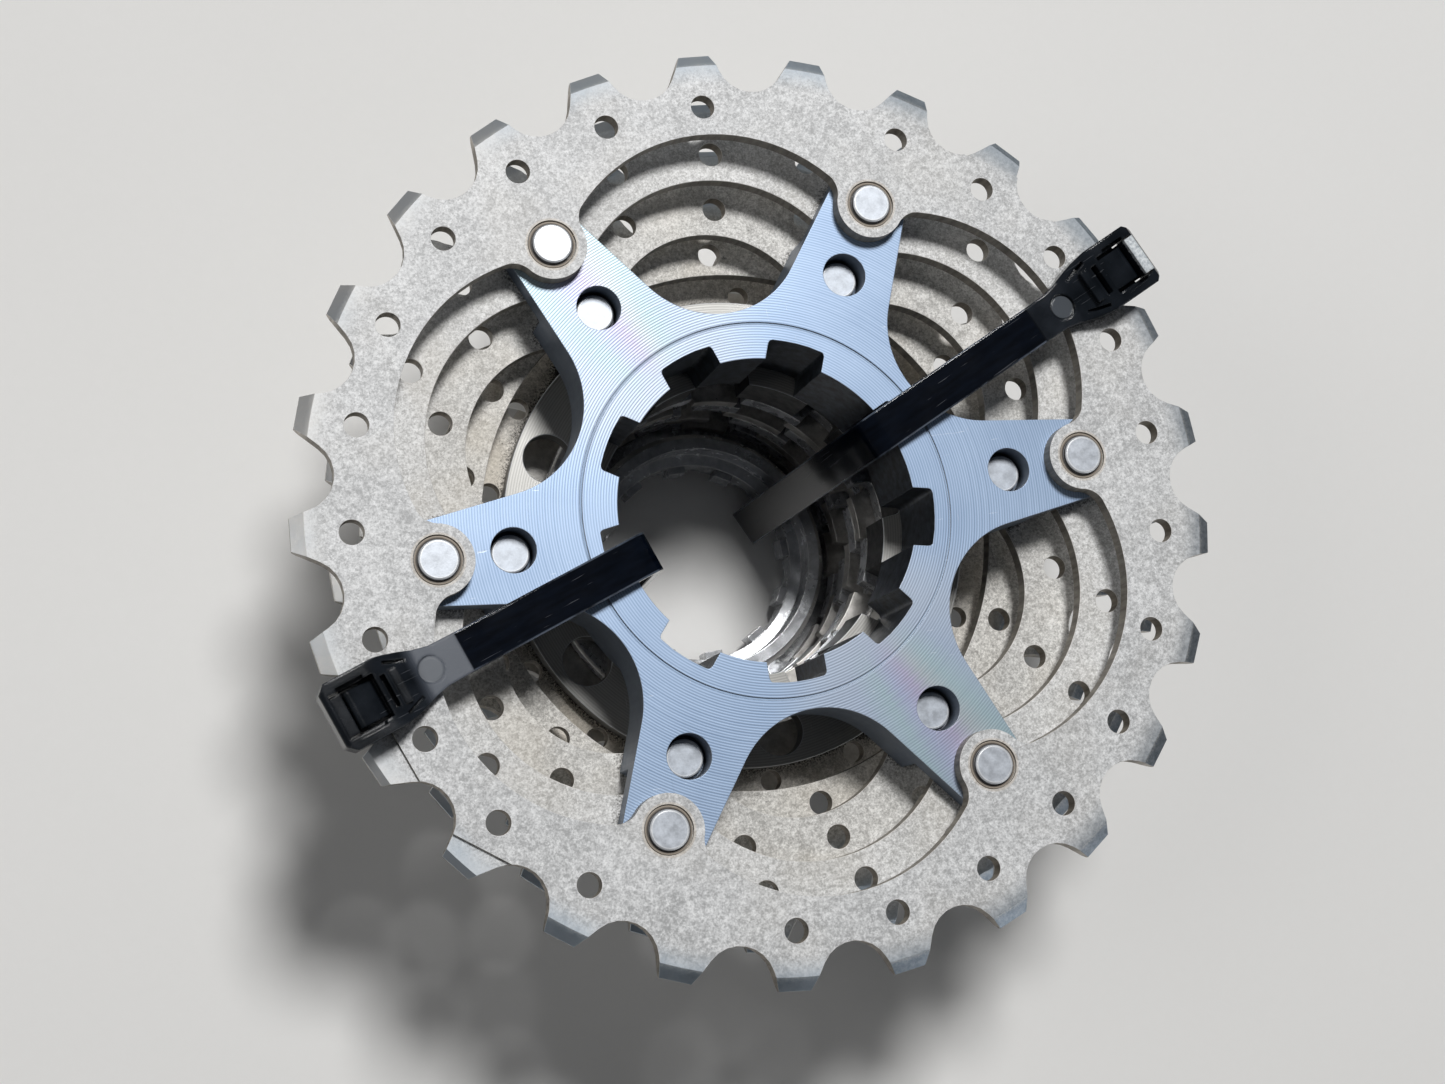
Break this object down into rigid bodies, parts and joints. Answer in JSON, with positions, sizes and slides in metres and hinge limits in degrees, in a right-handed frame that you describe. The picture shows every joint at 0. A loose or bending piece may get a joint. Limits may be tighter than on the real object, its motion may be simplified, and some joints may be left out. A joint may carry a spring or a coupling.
{
  "type": "bicycle cassette",
  "caption": "Splined stack of toothed bicycle sprockets on riveted spider carriers with spacers and a lockring, held together by two cable ties.",
  "frame": {"origin": "on the cassette's axis, in the face of the large carrier that seats against the freehub shoulder", "axes": "+Z along the axis out of the big end, +X along one arm of the large carrier, +Y completes the right-handed frame"},
  "size_m": [0.1028, 0.1025, 0.0444],
  "materials": {
    "titanium_large": "matte, mottled silver-grey",
    "titanium_mid": "matte, mottled, grime in the corners",
    "anodised": "pale blue anodised, fine turning marks",
    "anodised_dull": "dull grey",
    "rivet": "bright, dimpled",
    "spacer": "satin",
    "steel": "satin plated",
    "lockring": "worn bright",
    "nylon": "glossy black nylon"
  },
  "bodies": {
    "large_cluster": {"cog_25t": "titanium_large", "cog_23t": "titanium_mid", "cog_21t": "titanium_mid", "carrier_large": "anodised", "rivets_outer": "rivet", "rivets_inner": "rivet", "tie_1": "nylon", "tie_2": "nylon"},
    "small_cluster": {"cog_19t": "titanium_mid", "cog_17t": "titanium_mid", "carrier_small": "anodised_dull", "rivets_small": "rivet"},
    "spacer_a": {"spacer_17_15": "spacer"},
    "sprocket_15": {"cog_15t": "steel"},
    "spacer_b": {"spacer_15_14": "spacer"},
    "sprocket_14": {"cog_14t": "steel"},
    "spacer_c": {"spacer_14_13": "spacer"},
    "sprocket_13": {"cog_13t": "steel"},
    "spacer_d": {"spacer_13_12": "spacer"},
    "sprocket_12": {"cog_12t": "steel"},
    "lockring": {"lockring": "lockring"}
  },
  "joints": [
    {"name": "small_cluster_turn", "type": "hinge", "parent": "large_cluster", "child": "small_cluster", "pos_m": [0, 0, -0.0143], "axis": [0, 0, 1], "continuous": true},
    {"name": "spacer_a_turn", "type": "hinge", "parent": "large_cluster", "child": "spacer_a", "pos_m": [0, 0, -0.0186], "axis": [0, 0, 1], "continuous": true},
    {"name": "sprocket_15_turn", "type": "hinge", "parent": "large_cluster", "child": "sprocket_15", "pos_m": [0, 0, -0.0208], "axis": [0, 0, 1], "continuous": true},
    {"name": "spacer_b_turn", "type": "hinge", "parent": "large_cluster", "child": "spacer_b", "pos_m": [0, 0, -0.023], "axis": [0, 0, 1], "continuous": true},
    {"name": "sprocket_14_turn", "type": "hinge", "parent": "large_cluster", "child": "sprocket_14", "pos_m": [0, 0, -0.0252], "axis": [0, 0, 1], "continuous": true},
    {"name": "spacer_c_turn", "type": "hinge", "parent": "large_cluster", "child": "spacer_c", "pos_m": [0, 0, -0.0273], "axis": [0, 0, 1], "continuous": true},
    {"name": "sprocket_13_turn", "type": "hinge", "parent": "large_cluster", "child": "sprocket_13", "pos_m": [0, 0, -0.0295], "axis": [0, 0, 1], "continuous": true},
    {"name": "spacer_d_turn", "type": "hinge", "parent": "large_cluster", "child": "spacer_d", "pos_m": [0, 0, -0.0317], "axis": [0, 0, 1], "continuous": true},
    {"name": "sprocket_12_turn", "type": "hinge", "parent": "large_cluster", "child": "sprocket_12", "pos_m": [0, 0, -0.0338], "axis": [0, 0, 1], "continuous": true},
    {"name": "lockring_turn", "type": "hinge", "parent": "large_cluster", "child": "lockring", "pos_m": [0, 0, -0.0357], "axis": [0, 0, 1], "continuous": true}
  ]
}
